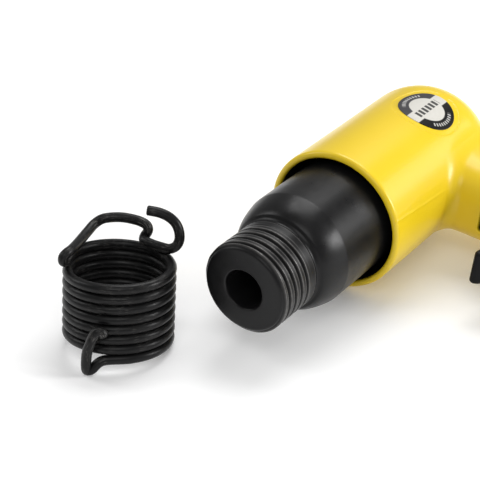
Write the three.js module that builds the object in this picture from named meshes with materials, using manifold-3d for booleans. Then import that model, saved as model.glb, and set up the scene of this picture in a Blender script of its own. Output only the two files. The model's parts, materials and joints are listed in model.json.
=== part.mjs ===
// A pistol-grip pneumatic air hammer that lies with its left side up, and its retaining spring,
// taken off and standing beside the nose. Millimetres, +Z up, nose towards -Y, handle towards +X.
// The tool is drawn in its own frame: the origin is the centre of the nose face, +Y runs back
// along the barrel, +X runs down the handle and +Z leaves its left side. That frame is then
// rolled about the barrel until the housing and the handle's end both touch the ground.
import * as THREE from "three";
import { mergeVertices } from "three/addons/utils/BufferGeometryUtils.js";
import Module from "manifold-3d";

const wasm = await Module();
wasm.setup();

// ---------- driving dimensions ----------
const GAP = 0.3; // clearance between pieces that touch
const FACETS = 32; // facets round a large turned piece
const FEW_FACETS = 20; // facets round a small turned piece

const BARREL = {
  radius: 21, rear: 109, bore: 9.55, boreFront: 30, step: 2,
  shank: 5.15, taperEnd: 12, taper: 6.95, chamfer: 1, mouth: 7.25,
};
const THREAD = {
  crest: 16.2, root: 15.2, pitch: 3.5, first: 0.5, turns: 5, land: 1.5, face: 14, bevel: 0.9,
};
const NECK = { collarEnd: 18.7, radius: 15.8, shoulder: 20.6, start: 16.3, end: 31, bulge: 50 };
const PORT = { y: 72, radius: 2.5, count: 4, turn: 45 };
const PISTON = { radius: 9.45, length: 36, gap: 1.2, nose: 6.5, stem: 7.2, stemLength: 9, bevel: 1 };

const HOUSING = { radius: 26, front: 55, mouth: 23.5, domeStart: 117.8, domeDepth: 23.4 };
const SOCKET = { start: 86, step: 109.2, end: 122.6, radius: 21.3, rearRadius: 18.8 };
const PLENUM = { radius: 11, end: 134 };
const STACK = { radius: 18.4, plate: 109.5, disc: 113.1, block: 114.9, gasket: 121.5 };
const CHAMBER = { radius: 10.6, depth: 2.7 };
const VALVE_DISC = { radius: 9.8, thickness: 1.2 };
const GASKET = { inner: 13, thickness: 0.8 };
const DOWEL = { x: 14, radius: 1.2, start: 106, end: 118 };
const LOCK = { y: 100, radius: 2, tip: 21.3, middle: 27, floor: 33.5 };
const HANDLE = { start: 8, end: 108, front: 93.2, rear: 132, width: 13.5, corner: 3.5, rake: 0.09 };

const SLOT = { start: 38, end: 80, floor: 105, width: 11.6 };
const TRIGGER = { width: 10.4, padWidth: 12.6, padEnd: 89, pivotX: 46, pivotY: 100, boss: 4.6, pin: 2 };
const THROTTLE = {
  x: 62, bore: 6.3, boreEnd: 128, bushEnd: 112.5, land: 2.4, waist: 4.4, pocket: 3.4,
  stem: 1.7, tip: 102, head: 4.3, nib: 1.6, springRadius: 3.2, springWire: 0.8,
};
const REGULATOR = { x: 90, bore: 3.9, waist: 2.6, knob: 6.4, tip: 120.5, height: 3.4, ringDepth: 5 };
const INLET = { y: 119, bore: 4.2, thread: 6.6, socket: 5.8, flats: 19, start: 97, screen: 104, end: 118 };

const LABEL = { y: 107, radius: 10.8, lean: 9, thickness: 0.25 };
const SPRING = {
  wire: 3.44, coil: 17.15, pitch: 3.54, turns: 7.767, endAngle: 214, sides: 6, steps: 330,
  x: -39.6, y: -14.27, leanX: -0.042, leanY: 0.1475,
};
const FLAT_SECTION = 2.6; // superellipse exponent of the handle's section

const DEG = Math.PI / 180;

// ---------- materials ----------
const paint = new THREE.MeshStandardMaterial({ color: 0xf2cf2c, roughness: 0.25, metalness: 0 });
const blackSteel = new THREE.MeshStandardMaterial({ color: 0x2b2b2d, roughness: 0.42, metalness: 0.8 });
const brightSteel = new THREE.MeshStandardMaterial({ color: 0xb9bcc0, roughness: 0.3, metalness: 1 });
const brass = new THREE.MeshStandardMaterial({ color: 0xc7a24f, roughness: 0.35, metalness: 1 });
const rubber = new THREE.MeshStandardMaterial({ color: 0x161616, roughness: 0.8, metalness: 0 });
const blackPlastic = new THREE.MeshStandardMaterial({ color: 0x1d1d20, roughness: 0.5, metalness: 0 });
const labelFilm = new THREE.MeshStandardMaterial({ color: 0xf1efec, roughness: 0.35, metalness: 0 });

// ---------- geometry helpers ----------
// A closed geometry as a solid that can be joined and cut.
function solid(geometry) {
  const bare = new THREE.BufferGeometry();
  bare.setAttribute("position", geometry.getAttribute("position"));
  if (geometry.index) bare.setIndex(geometry.index);
  const merged = mergeVertices(bare, 1e-4);
  const index = merged.index.array;
  const triangles = [];
  for (let i = 0; i < index.length; i += 3) {
    const [a, b, c] = [index[i], index[i + 1], index[i + 2]];
    if (a !== b && b !== c && c !== a) triangles.push(a, b, c);
  }
  return new wasm.Manifold(
    new wasm.Mesh({
      numProp: 3,
      vertProperties: merged.attributes.position.array,
      triVerts: new Uint32Array(triangles),
    }),
  );
}

// A solid back as a geometry.
function geometryOf(made) {
  const mesh = made.getMesh();
  const geometry = new THREE.BufferGeometry();
  geometry.setAttribute("position", new THREE.BufferAttribute(mesh.vertProperties, 3));
  geometry.setIndex(new THREE.BufferAttribute(mesh.triVerts, 1));
  geometry.computeVertexNormals();
  return geometry;
}

function mesh(name, shape, material) {
  const geometry = shape instanceof THREE.BufferGeometry ? shape : geometryOf(shape);
  const made = new THREE.Mesh(geometry, material);
  made.name = name;
  return made;
}

// A piece turned about the Y axis. The outline lists [radius, y] anticlockwise in the
// half-plane of positive radius; it closes on itself unless it starts and ends on the axis.
function turned(outline, facets = FACETS) {
  const points = outline.map(([r, y]) => new THREE.Vector2(r, y));
  const onAxis = outline[0][0] === 0 && outline.at(-1)[0] === 0;
  if (!onAxis) points.push(points[0].clone());
  return new THREE.LatheGeometry(points, facets);
}

// A tube about the Y axis.
function sleeve(inner, outer, y0, y1, facets = FEW_FACETS) {
  return turned([[inner, y0], [outer, y0], [outer, y1], [inner, y1]], facets);
}

// A solid rod about the Y axis.
function rod(radius, y0, y1, facets = FEW_FACETS) {
  return turned([[0, y0], [radius, y0], [radius, y1], [0, y1]], facets);
}

// Turns a geometry drawn about Y so that it lies along the given direction from the given point.
function laid(geometry, from, direction) {
  const turn = new THREE.Quaternion().setFromUnitVectors(
    new THREE.Vector3(0, 1, 0),
    new THREE.Vector3(...direction).normalize(),
  );
  return geometry.clone().applyQuaternion(turn).translate(...from);
}

// A rod between two points.
function rodBetween(radius, from, to, facets = 12) {
  const span = new THREE.Vector3(...to).sub(new THREE.Vector3(...from));
  return laid(rod(radius, 0, span.length(), facets), from, span.toArray());
}

function box(x0, x1, y0, y1, z0, z1) {
  const made = new THREE.BoxGeometry(x1 - x0, y1 - y0, z1 - z0);
  return made.translate((x0 + x1) / 2, (y0 + y1) / 2, (z0 + z1) / 2);
}

// A flat outline in x and y, given thickness about z = 0.
function plate(outline, thickness) {
  const shape = new THREE.Shape(outline.map(([x, y]) => new THREE.Vector2(x, y)));
  const made = new THREE.ExtrudeGeometry(shape, { depth: thickness, bevelEnabled: false });
  return made.translate(0, 0, -thickness / 2);
}

// A closed skin over rings of equal point count, capped at both ends.
function lofted(rings) {
  const count = rings[0].length;
  const vertices = rings.flat(2);
  const centre = (ring) => [0, 1, 2].map((k) => ring.reduce((sum, p) => sum + p[k], 0) / count);
  vertices.push(...centre(rings[0]), ...centre(rings.at(-1)));
  const firstCap = rings.length * count;
  const index = [];
  for (let i = 0; i + 1 < rings.length; i++)
    for (let j = 0; j < count; j++) {
      const [a, b] = [i * count + j, i * count + ((j + 1) % count)];
      index.push(a, b, a + count, b, b + count, a + count);
    }
  const last = (rings.length - 1) * count;
  for (let j = 0; j < count; j++) {
    index.push(firstCap, (j + 1) % count, j);
    index.push(firstCap + 1, last + j, last + ((j + 1) % count));
  }
  const made = new THREE.BufferGeometry();
  made.setAttribute("position", new THREE.Float32BufferAttribute(vertices, 3));
  made.setIndex(index);
  return made;
}

// A wire of round section along a smooth route.
function wire(route, diameter, steps, sides) {
  const section = new THREE.Shape();
  for (let i = 0; i < sides; i++) {
    const angle = (i / sides) * 2 * Math.PI;
    const point = [(diameter / 2) * Math.cos(angle), (diameter / 2) * Math.sin(angle)];
    if (i) section.lineTo(...point);
    else section.moveTo(...point);
  }
  return new THREE.ExtrudeGeometry(section, { steps, extrudePath: route, curveSegments: 1 });
}

// ---------- barrel group ----------
function barrel() {
  const outside = [[THREAD.face, 0], [THREAD.face + THREAD.bevel, THREAD.bevel]];
  for (let i = 0; i < THREAD.turns; i++) {
    const middle = THREAD.first + THREAD.pitch * i;
    const half = (THREAD.pitch - THREAD.land) / 2;
    if (i > 0) outside.push([THREAD.crest, middle - half], [THREAD.root, middle - half / 3]);
    if (i > 0) outside.push([THREAD.root, middle + half / 3]);
    outside.push([THREAD.crest, middle + half]);
  }
  outside.push([THREAD.crest, NECK.collarEnd], [NECK.radius, NECK.collarEnd + 0.5]);
  outside.push([NECK.radius, NECK.shoulder - 1]);
  // The shoulder bulges from the neck, and meets the straight barrel at a slight edge.
  const bulge = NECK.bulge * DEG;
  for (let i = 0; i <= 5; i++) {
    const across = Math.sin((i / 5) * bulge) / Math.sin(bulge);
    const along = (1 - Math.cos((i / 5) * bulge)) / (1 - Math.cos(bulge));
    outside.push([
      NECK.start + (BARREL.radius - NECK.start) * across,
      NECK.shoulder + (NECK.end - NECK.shoulder) * along,
    ]);
  }
  outside.push([BARREL.radius, BARREL.rear]);
  const inside = [
    [BARREL.bore, BARREL.rear], [BARREL.bore, BARREL.boreFront],
    [BARREL.shank, BARREL.boreFront - BARREL.step], [BARREL.shank, BARREL.taperEnd],
    [BARREL.taper, BARREL.chamfer], [BARREL.mouth, 0],
  ];
  let made = solid(turned([...outside, ...inside]));
  for (let i = 0; i < PORT.count; i++) {
    const angle = (i / PORT.count) * 2 * Math.PI + PORT.turn * DEG;
    const reach = BARREL.radius + 1;
    const far = [Math.cos(angle) * reach, PORT.y, Math.sin(angle) * reach];
    made = made.subtract(solid(rodBetween(PORT.radius, [0, PORT.y, 0], far, 8)));
  }
  const dowelHole = rod(DOWEL.radius + GAP, DOWEL.start - 1, BARREL.rear + 1, 10);
  return made.subtract(solid(dowelHole.translate(DOWEL.x, 0, 0)));
}

function piston() {
  const { radius, nose, stem, bevel } = PISTON;
  const rear = BARREL.rear - PISTON.gap;
  const front = rear - PISTON.length;
  const stemEnd = front + PISTON.stemLength;
  return turned([
    [0, front], [nose, front], [stem, front + bevel], [stem, stemEnd], [radius, stemEnd + 2],
    [radius, rear - bevel], [radius - bevel, rear], [0, rear],
  ], FEW_FACETS);
}

// ---------- valve stack behind the barrel ----------
function pierced(shape, radius, ringRadius, count, y0, y1) {
  let made = shape;
  for (let i = 0; i < count; i++) {
    const angle = ((i + 0.5) / count) * 2 * Math.PI;
    const hole = rod(radius, y0, y1, 8);
    hole.translate(Math.cos(angle) * ringRadius, 0, Math.sin(angle) * ringRadius);
    made = made.subtract(solid(hole));
  }
  return made;
}

function valveSeatPlate() {
  const made = solid(sleeve(2.4, STACK.radius, STACK.plate, STACK.disc - 0.3));
  const dowelHole = rod(DOWEL.radius + GAP, STACK.plate - 1, STACK.disc + 1, 10);
  return pierced(made, 1.5, 7.5, 6, STACK.plate - 1, STACK.disc + 1)
    .subtract(solid(dowelHole.translate(DOWEL.x, 0, 0)));
}

// The block's front is hollowed into the chamber that the disc flutters in.
function valveBlock() {
  const front = STACK.disc;
  const back = STACK.gasket - GAP;
  const seat = front + CHAMBER.depth;
  const made = solid(turned([
    [2.2, back], [2.2, seat], [CHAMBER.radius, seat], [CHAMBER.radius, front],
    [STACK.radius, front], [STACK.radius, back],
  ], FEW_FACETS));
  const dowelHole = rod(DOWEL.radius + GAP, front - 1, DOWEL.end + GAP, 10);
  return pierced(made, 1.4, 6.5, 6, front, back + 1)
    .subtract(solid(dowelHole.translate(DOWEL.x, 0, 0)));
}

// ---------- housing ----------
// Where the handle's section sits at a given distance from the barrel's axis.
function handleSection(x) {
  const root = Math.exp(-Math.max(x - 20, 0) / 5);
  const past = Math.max(x - 42, 0);
  const down = Math.min(Math.max((x - (HANDLE.end - HANDLE.corner)) / HANDLE.corner, 0), 1);
  const tuck = HANDLE.corner * (1 - Math.sqrt(1 - down * down)) * 0.8;
  const swell = 1.6 * Math.sin(Math.min(past / 62, 1) * Math.PI);
  return {
    front: HANDLE.front + HANDLE.rake * past - 1.2 * root + tuck + swell,
    rear: HANDLE.rear + HANDLE.rake * 0.6 * past - tuck - 0.5 * swell - 0.5 * root,
    half: HANDLE.width + 1.6 * Math.exp(-past / 25) + 1.2 * root - tuck,
  };
}

function handleRing(x, count) {
  const { front, rear, half } = handleSection(x);
  const [middle, reach] = [(front + rear) / 2, (rear - front) / 2];
  const ring = [];
  for (let j = 0; j < count; j++) {
    const angle = (j / count) * 2 * Math.PI;
    const round = (value) => Math.sign(value) * Math.abs(value) ** (2 / FLAT_SECTION);
    ring.push([x, middle + reach * round(Math.cos(angle)), half * round(Math.sin(angle))]);
  }
  return ring;
}

function housing() {
  const outline = [[0, HOUSING.front + 3]];
  outline.push([HOUSING.mouth, HOUSING.front + 3], [HOUSING.mouth, HOUSING.front + 0.7]);
  outline.push([HOUSING.mouth + 0.7, HOUSING.front], [HOUSING.radius - 0.8, HOUSING.front]);
  outline.push([HOUSING.radius, HOUSING.front + 0.8], [HOUSING.radius, HOUSING.domeStart]);
  for (let i = 1; i < 6; i++)
    outline.push([
      HOUSING.radius * Math.cos((i / 6) * 90 * DEG),
      HOUSING.domeStart + HOUSING.domeDepth * Math.sin((i / 6) * 90 * DEG),
    ]);
  outline.push([0, HOUSING.domeStart + HOUSING.domeDepth]);
  const stations = [HANDLE.start, 18, 22, 26, 30, 36, 46, 58, 70, 82, 94,
    HANDLE.end - HANDLE.corner, HANDLE.end - 1.2, HANDLE.end - 0.3, HANDLE.end];
  const rings = stations.map((x) => handleRing(x, 24));
  let made = solid(turned(outline, 40)).add(solid(lofted(rings)));

  const cuts = [
    turned([
      [0, HOUSING.front - 5], [HOUSING.mouth, HOUSING.front - 5], [HOUSING.mouth, SOCKET.start - 2],
      [SOCKET.radius, SOCKET.start], [SOCKET.radius, SOCKET.step], [SOCKET.rearRadius, SOCKET.step],
      [SOCKET.rearRadius, SOCKET.end], [PLENUM.radius, SOCKET.end], [PLENUM.radius, PLENUM.end],
      [0, PLENUM.end],
    ]),
    box(SLOT.start, SLOT.end, HANDLE.front - 12, SLOT.floor, -SLOT.width / 2, SLOT.width / 2),
    rod(THROTTLE.bore, SLOT.floor - 1, THROTTLE.boreEnd, 16).translate(THROTTLE.x, 0, 0),
    rodBetween(2.5, [5, PLENUM.end - 3, 0], [THROTTLE.x - 4, 109, 0]),
    rodBetween(INLET.bore, [THROTTLE.x, INLET.y, 0], [HANDLE.end + 1, INLET.y, 0]),
    rodBetween(INLET.thread + GAP, [INLET.start - 2, INLET.y, 0], [HANDLE.end + 1, INLET.y, 0], 16),
    rodBetween(TRIGGER.pin + GAP, [TRIGGER.pivotX, TRIGGER.pivotY, -20],
      [TRIGGER.pivotX, TRIGGER.pivotY, 20]),
    rodBetween(REGULATOR.bore + GAP, [REGULATOR.x, INLET.y - 3, 0], [REGULATOR.x, 150, 0]),
    rodBetween(LOCK.radius + GAP, [SOCKET.radius - 2, LOCK.y, 0], [LOCK.floor, LOCK.y, 0]),
  ];
  for (const cut of cuts) made = made.subtract(solid(cut));
  return made;
}

// ---------- barrel lock: a sprung plunger in the handle's root bears on the barrel ----------
function lockPlunger() {
  return rodBetween(LOCK.radius, [LOCK.tip, LOCK.y, 0], [LOCK.middle, LOCK.y, 0]);
}

function lockSpring() {
  const made = coil(1.4, 0.6, 0, LOCK.floor - LOCK.middle - 1.4, 4.5, 10, 5);
  return laid(made, [LOCK.middle + 0.7, LOCK.y, 0], [1, 0, 0]);
}

// ---------- trigger and throttle ----------
function trigger() {
  const { pivotX: px, pivotY: py, boss } = TRIGGER;
  const outline = [[px - boss, py + 1], [px - boss * 0.8, py - boss * 0.6], [px - 1, 93.5]];
  outline.push([49.5, 88], [53.2, 81.5], [53.4, 75.8], [50.8, 68.6], [50, 65.6], [50.4, 64.1]);
  outline.push([51.9, 63.6], [53.7, 64.8], [56.6, 69.6], [60.4, 73.9], [65.4, 77], [71, 78.5]);
  outline.push([77.5, 78.2], [83, 76.4], [85.4, 76.6], [86.4, 78.6], [85.2, 82.4], [79, 92.5]);
  outline.push([74, 98.6], [68, 101], [px + 8, 102], [px + boss, 103.2], [px, py + boss]);
  const hole = rodBetween(TRIGGER.pin + GAP, [px, py, -20], [px, py, 20]);
  outline.reverse();
  // Outside the handle's slot the finger pad is wider than the blade.
  const front = box(px, px + 50, TRIGGER.padEnd - 30, TRIGGER.padEnd, -10, 10);
  const pad = solid(plate(outline, TRIGGER.padWidth)).intersect(solid(front));
  return solid(plate(outline, TRIGGER.width)).add(pad).subtract(solid(hole));
}

// Waisted between two lands; the pocket inside holds the stem's O-ring.
function throttleBushing() {
  const { land, waist, pocket, bushEnd } = THROTTLE;
  const inner = THROTTLE.stem + GAP;
  const outer = THROTTLE.bore - GAP;
  const start = SLOT.floor + 0.2;
  const pocketStart = SLOT.floor + land + 1;
  return turned([
    [inner, start], [outer, start], [outer, SLOT.floor + land], [waist, SLOT.floor + land + 0.2],
    [waist, bushEnd - 1.6], [outer, bushEnd - 1.4], [outer, bushEnd], [pocket, bushEnd],
    [pocket, pocketStart], [inner, pocketStart],
  ], 16);
}

// The stem's tip meets the back of the trigger, and its head closes on the bushing.
function throttleStem() {
  const { tip, stem, head, nib } = THROTTLE;
  const seat = THROTTLE.bushEnd + 1.4;
  return turned([
    [0, tip], [stem - 0.8, tip], [stem, tip + 0.8], [stem, seat], [head, seat],
    [head, seat + 1.6], [nib, seat + 2], [nib, seat + 4], [0, seat + 4],
  ], 16);
}

function coil(radius, diameter, y0, y1, turns, stepsPerTurn, sides) {
  const route = new THREE.Curve();
  route.getPoint = (t, target = new THREE.Vector3()) => {
    const angle = t * turns * 2 * Math.PI;
    return target.set(radius * Math.cos(angle), y0 + (y1 - y0) * t, radius * Math.sin(angle));
  };
  return wire(route, diameter, Math.round(turns * stepsPerTurn), sides);
}

function throttleSpring() {
  const start = THROTTLE.bushEnd + 4.1;
  const end = THROTTLE.boreEnd - THROTTLE.springWire;
  return coil(THROTTLE.springRadius, THROTTLE.springWire, start, end, 6.5, 12, 5);
}

// ---------- air inlet and regulator in the handle's end ----------
// A plain hexagonal bar from x0 to x1.
function hexagon(flats, x0, x1) {
  const made = new THREE.CylinderGeometry(flats / Math.sqrt(3), flats / Math.sqrt(3), x1 - x0, 6);
  return made.rotateZ(90 * DEG).translate((x0 + x1) / 2, INLET.y, 0);
}

function inletBushing() {
  const washerEnd = HANDLE.end + GAP + 1;
  const along = (radius, x0, x1) => solid(rodBetween(radius, [x0, INLET.y, 0], [x1, INLET.y, 0], 16));
  const corner = INLET.flats / Math.sqrt(3);
  const chamfer = laid(sleeve(corner - 0.9, corner + 3, 0, 1.6), [INLET.end - 0.6, INLET.y, 0], [1, 0, 0]);
  return solid(hexagon(INLET.flats, washerEnd + GAP, INLET.end))
    .add(along(INLET.thread, INLET.start, washerEnd + 1))
    .subtract(along(INLET.socket, INLET.screen, INLET.end + 1))
    .subtract(along(INLET.bore, INLET.start - 1, INLET.end))
    .subtract(solid(chamfer));
}

function inletWasher() {
  const made = sleeve(INLET.thread + GAP, 9.2, 0, 1);
  return laid(made, [HANDLE.end + GAP, INLET.y, 0], [1, 0, 0]);
}

function inletScreen() {
  const made = pierced(solid(rod(INLET.socket - GAP, 0, 0.6)), 0.7, 3, 6, -1, 2);
  return geometryOf(made).rotateZ(-90 * DEG).translate(INLET.screen + GAP, INLET.y, 0);
}

function regulatorScrew() {
  const face = handleSection(REGULATOR.x + REGULATOR.knob).rear + GAP;
  const { bore, waist, knob, tip, height } = REGULATOR;
  const groove = face - REGULATOR.ringDepth;
  const made = solid(turned([
    [0, tip], [waist, tip], [bore, tip + 1.3], [bore, groove - 1], [waist, groove - 1],
    [waist, groove + 1], [bore, groove + 1], [bore, face], [knob, face],
    [knob, face + height - 0.8], [knob - 0.8, face + height], [0, face + height],
  ]));
  const slot = box(-0.6, 0.6, face + height - 1.2, face + height + 1, -knob - 1, knob + 1);
  return made.subtract(solid(slot));
}

function regulatorRing() {
  const face = handleSection(REGULATOR.x + REGULATOR.knob).rear + GAP;
  const groove = face - REGULATOR.ringDepth;
  return sleeve(REGULATOR.waist + GAP, REGULATOR.bore, groove - 0.7, groove + 0.7);
}

// ---------- round label, bent to the housing's side ----------
function sideLabel() {
  const inner = HOUSING.radius + GAP;
  const skin = sleeve(inner, inner + LABEL.thickness, LABEL.y - 15, LABEL.y + 15, 72);
  const punch = rodBetween(LABEL.radius, [0, LABEL.y, 20], [0, LABEL.y, 30], 28);
  const made = geometryOf(solid(skin).intersect(solid(punch)));
  return made.rotateY(LABEL.lean * DEG);
}

// ---------- retaining spring ----------
// The spring's own frame: its axis is +Z through the origin, and z = 0 is the top of the coil.
function springRoute() {
  const { coil: r, pitch, turns, endAngle } = SPRING;
  const points = [];
  const ear = [
    [9.1, -18.6, -14.1], [8.5, -19.1, -12.8], [7.5, -19.9, -12.1], [6.5, -20.9, -13.8],
    [5.7, -21.6, -16.6], [4.6, -21.8, -19.9], [4, -21.5, -23.2], [3.5, -20.9, -25.7],
    [3.1, -19.8, -27.9], [4.6, -19.2, -27.1], [5.5, -18.1, -25.6], [6.6, -16.7, -24.4],
  ];
  const tallHook = [
    [-15.3, -7.8, 3.5], [-14, -10.3, 3.6], [-13.2, -12.2, 3.7], [-12.8, -13.6, 4.4],
    [-12.7, -13.7, 5.9], [-12.3, -12.2, 7.1], [-12.5, -10.1, 7.3], [-15.1, -2.7, 7.5],
    [-17, 3.6, 8.4], [-17.7, 8.6, 9.9], [-16, 10.3, 11.4], [-13.6, 12.6, 11.9],
    [-10.8, 14.4, 12.1], [-7.8, 15.8, 11.9], [-4.5, 16.7, 11.5], [-2.2, 17.1, 10.6], [-1.6, 17, 9],
    [-2.6, 16.6, 7.1], [-1.7, 14.8, 6.3], [0.5, 14.4, 6], [3.1, 14.6, 5.7], [6.3, 14.9, 5.6],
    [8.9, 15.3, 5.7], [10.5, 16.6, 6.7], [11.1, 17.5, 8.7], [10.6, 17.9, 11.7], [9.3, 17.6, 14.3],
    [7.3, 16.7, 16.2], [4.7, 15.2, 17.5], [2.4, 13.7, 18], [0.8, 12.7, 18.2],
  ];
  for (const [x, y, z] of ear) points.push(new THREE.Vector3(x, y, z));
  const steps = Math.round(turns * 14);
  const startAngle = endAngle - 360 * turns;
  for (let i = 1; i < steps; i++) {
    const angle = startAngle + (endAngle - startAngle) * (i / steps);
    const height = 3.6 - pitch * (endAngle - angle) / 360;
    points.push(new THREE.Vector3(r * Math.cos(angle * DEG), r * Math.sin(angle * DEG), height));
  }
  for (const [x, y, z] of tallHook) points.push(new THREE.Vector3(x, y, z));
  return new THREE.CatmullRomCurve3(points, false, "centripetal");
}

// ---------- assembly ----------
const tool = new THREE.Group();
tool.add(
  mesh("housing", housing(), paint),
  mesh("barrel", barrel(), blackSteel),
  mesh("piston", piston(), brightSteel),
  mesh("valve_seat_plate", valveSeatPlate(), brightSteel),
  mesh("valve_disc", rod(VALVE_DISC.radius, STACK.disc + GAP, STACK.disc + GAP + VALVE_DISC.thickness),
    brightSteel),
  mesh("valve_block", valveBlock(), brightSteel),
  mesh("valve_dowel", rod(DOWEL.radius, DOWEL.start, DOWEL.end, 10).translate(DOWEL.x, 0, 0),
    brightSteel),
  mesh("valve_gasket", sleeve(GASKET.inner, STACK.radius, STACK.gasket, STACK.gasket + GASKET.thickness),
    rubber),
  mesh("lock_plunger", lockPlunger(), brightSteel),
  mesh("trigger", trigger(), blackPlastic),
  mesh("trigger_pin", rodBetween(TRIGGER.pin, [TRIGGER.pivotX, TRIGGER.pivotY, -14],
    [TRIGGER.pivotX, TRIGGER.pivotY, 14]), blackSteel),
  mesh("throttle_bushing", throttleBushing().translate(THROTTLE.x, 0, 0), brass),
  mesh("throttle_stem", throttleStem().translate(THROTTLE.x, 0, 0), brightSteel),
);

tool.add(
  mesh("lock_spring", lockSpring(), brightSteel),
  mesh("throttle_seal", sleeve(2.2, THROTTLE.head - 0.1, THROTTLE.bushEnd + GAP, THROTTLE.bushEnd + 1.1)
    .translate(THROTTLE.x, 0, 0), rubber),
  mesh("stem_o_ring", sleeve(THROTTLE.stem + GAP, 3.1, SLOT.floor + 3.7, SLOT.floor + 4.9)
    .translate(THROTTLE.x, 0, 0), rubber),
  mesh("throttle_spring", throttleSpring().translate(THROTTLE.x, 0, 0), brightSteel),
  mesh("inlet_bushing", inletBushing(), blackSteel),
  mesh("inlet_washer", inletWasher(), rubber),
  mesh("inlet_screen", inletScreen(), brass),
  mesh("regulator_screw", geometryOf(regulatorScrew()).translate(REGULATOR.x, 0, 0), blackSteel),
  mesh("regulator_o_ring", regulatorRing().translate(REGULATOR.x, 0, 0), rubber),
  mesh("side_label", sideLabel(), labelFilm),
);

// The tool rests on the housing's side and on the handle's end.
const handleEdge = HANDLE.end - HANDLE.corner;
const contact = new THREE.Vector2(handleEdge, handleSection(handleEdge).half);
tool.rotation.y = Math.asin(HOUSING.radius / contact.length()) - Math.atan2(contact.y, contact.x);

const parked = new THREE.Group();
const springBody = wire(springRoute(), SPRING.wire, SPRING.steps, SPRING.sides);
parked.add(mesh("retainer_spring", springBody, blackSteel));
parked.quaternion.setFromUnitVectors(
  new THREE.Vector3(0, 0, 1),
  new THREE.Vector3(SPRING.leanX, SPRING.leanY, 1).normalize(),
);
parked.position.set(SPRING.x, SPRING.y, 0);

// Both stand on the ground, and the origin is the middle of the whole part's base.
const hammer = new THREE.Group();
hammer.add(tool, parked);
for (const piece of [tool, parked]) {
  piece.updateMatrixWorld(true);
  piece.position.z -= new THREE.Box3().setFromObject(piece, true).min.z;
}
hammer.updateMatrixWorld(true);
const bounds = new THREE.Box3().setFromObject(hammer, true);
hammer.position.set(-(bounds.min.x + bounds.max.x) / 2, -(bounds.min.y + bounds.max.y) / 2, 0);

export default hammer;
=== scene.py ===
"""Looks of a pistol-grip pneumatic air hammer and its parked retaining spring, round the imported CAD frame.

Shapes are worked out in millimetres in the tool's own frame. Its origin is the centre of the nose face, +Y
runs back along the barrel, +X runs down the handle and +Z leaves the tool's left side. They are then put
in the row frame, in metres.
"""

import json
import math

import bpy
import numpy as np
from mathutils import Matrix, Vector
from numpy.linalg import norm


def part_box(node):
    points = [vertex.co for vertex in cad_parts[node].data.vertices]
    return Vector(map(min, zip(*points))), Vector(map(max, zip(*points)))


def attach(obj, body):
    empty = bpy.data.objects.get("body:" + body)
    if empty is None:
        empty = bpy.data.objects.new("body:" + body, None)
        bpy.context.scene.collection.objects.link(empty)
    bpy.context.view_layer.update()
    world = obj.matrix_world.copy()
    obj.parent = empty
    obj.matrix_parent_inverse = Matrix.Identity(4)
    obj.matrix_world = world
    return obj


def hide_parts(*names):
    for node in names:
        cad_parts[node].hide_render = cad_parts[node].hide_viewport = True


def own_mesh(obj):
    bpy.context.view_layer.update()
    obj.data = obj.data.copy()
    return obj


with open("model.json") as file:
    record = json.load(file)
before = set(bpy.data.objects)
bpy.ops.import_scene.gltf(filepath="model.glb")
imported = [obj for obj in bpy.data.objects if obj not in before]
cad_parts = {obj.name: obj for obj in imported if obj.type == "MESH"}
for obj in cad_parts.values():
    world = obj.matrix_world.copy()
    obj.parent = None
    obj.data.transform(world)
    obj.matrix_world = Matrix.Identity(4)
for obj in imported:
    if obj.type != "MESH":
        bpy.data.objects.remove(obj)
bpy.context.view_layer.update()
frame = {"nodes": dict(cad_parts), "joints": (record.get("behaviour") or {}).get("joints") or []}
MM = 0.001
MICRON = 0.000001
TURN = 2 * math.pi


# ---------- frames ----------
def joint(name):
    return next(j for j in frame["joints"] if j["name"] == name)


def axis_centre(node):
    """The front end of a turned node's axis, where the axis runs along Y."""
    low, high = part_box(node)
    return np.array([(low.x + high.x) / 2, low.y, (low.z + high.z) / 2])


NOSE = axis_centre("barrel")
TOOL_Z = Vector(joint("trigger_pivot")["axis"]).normalized()
TOOL_Y = Vector((0, 1, 0))
TOOL_X = TOOL_Y.cross(TOOL_Z)
TOOL_AXES = np.array([TOOL_X, TOOL_Y, TOOL_Z])
LEVEL_AXES = np.eye(3)


def to_row(points, axes=TOOL_AXES):
    return np.asarray(points, float) @ axes * MM + NOSE


def to_tool(point):
    """A point of the row frame in the tool's frame, in millimetres."""
    return (np.array(point) - NOSE) @ TOOL_AXES.T / MM


# ---------- meshes ----------
def new_object(name, data):
    made = bpy.data.objects.new(name, data)
    bpy.context.scene.collection.objects.link(made)
    return made


def add_mesh(name, points, quads=None, triangles=None, normals=None):
    """A smooth mesh from points in metres in the row frame."""
    quads = np.zeros((0, 4), np.int32) if quads is None else np.asarray(quads, np.int32)
    triangles = np.zeros((0, 3), np.int32) if triangles is None else np.asarray(triangles, np.int32)
    corners = np.concatenate([quads.ravel(), triangles.ravel()])
    starts = np.concatenate([np.arange(len(quads)) * 4, quads.size + np.arange(len(triangles)) * 3])
    mesh = bpy.data.meshes.new(name)
    mesh.vertices.add(len(points))
    mesh.vertices.foreach_set("co", np.asarray(points, np.float32).ravel())
    mesh.loops.add(len(corners))
    mesh.loops.foreach_set("vertex_index", corners.astype(np.int32))
    mesh.polygons.add(len(starts))
    mesh.polygons.foreach_set("loop_start", starts.astype(np.int32))
    mesh.update(calc_edges=True)
    mesh.validate()
    mesh.shade_smooth()
    if normals is not None:
        mesh.normals_split_custom_set_from_vertices(normals.tolist())
    return new_object(name, mesh)


def give_values(obj, name, values):
    attribute = obj.data.attributes.new(name, "FLOAT", "POINT")
    attribute.data.foreach_set("value", np.asarray(values, np.float32))


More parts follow.
